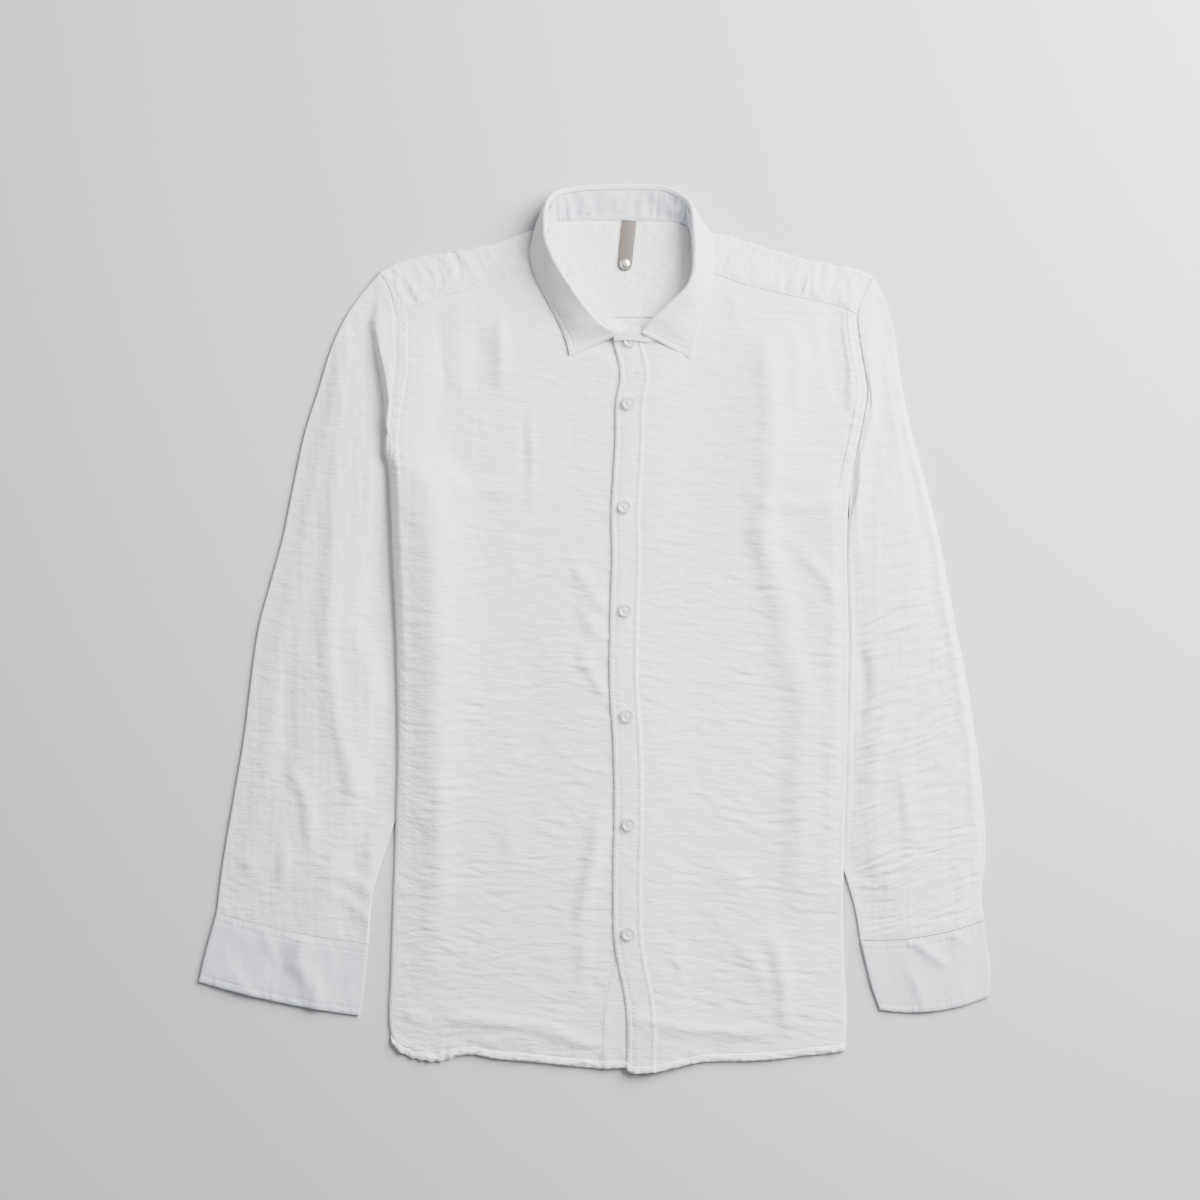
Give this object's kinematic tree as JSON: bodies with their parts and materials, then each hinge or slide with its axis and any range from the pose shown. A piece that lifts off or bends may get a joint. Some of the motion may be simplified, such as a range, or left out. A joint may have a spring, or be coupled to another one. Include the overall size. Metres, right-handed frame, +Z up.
{
  "type": "crumpled linen shirt",
  "caption": "Long-sleeved crinkled linen shirt with a turned-down collar, buttoned down the front and laid flat on its back with the sleeves beside the body.",
  "frame": {"origin": "on the surface that the shirt rests on, under the middle of its outline", "axes": "+Z up off the surface, towards the front of the shirt; +Y from the hem towards the collar; +X towards the wearer's left"},
  "size_m": [0.7121, 0.7994, 0.0345],
  "materials": {
    "crinkled_linen": "warm white crinkled gauze",
    "smooth_poplin": "cool white smooth cloth",
    "clear_button": "clear, polished",
    "taupe_tab": "matt taupe",
    "polished_stud": "polished silver"
  },
  "bodies": {
    "root": {"back": "crinkled_linen", "front_right": "crinkled_linen", "front_left": "crinkled_linen", "button_band": "crinkled_linen", "placket": "crinkled_linen", "yoke": "crinkled_linen", "sleeve_right": "crinkled_linen", "sleeve_left": "crinkled_linen", "cuff_right": "smooth_poplin", "cuff_left": "smooth_poplin", "collar_stand": "smooth_poplin", "collar": "smooth_poplin", "button_1": "clear_button", "button_2": "clear_button", "button_3": "clear_button", "button_4": "clear_button", "button_5": "clear_button", "button_6": "clear_button", "button_collar": "clear_button", "neck_tab": "taupe_tab", "tab_stud": "polished_stud"}
  },
  "joints": []
}
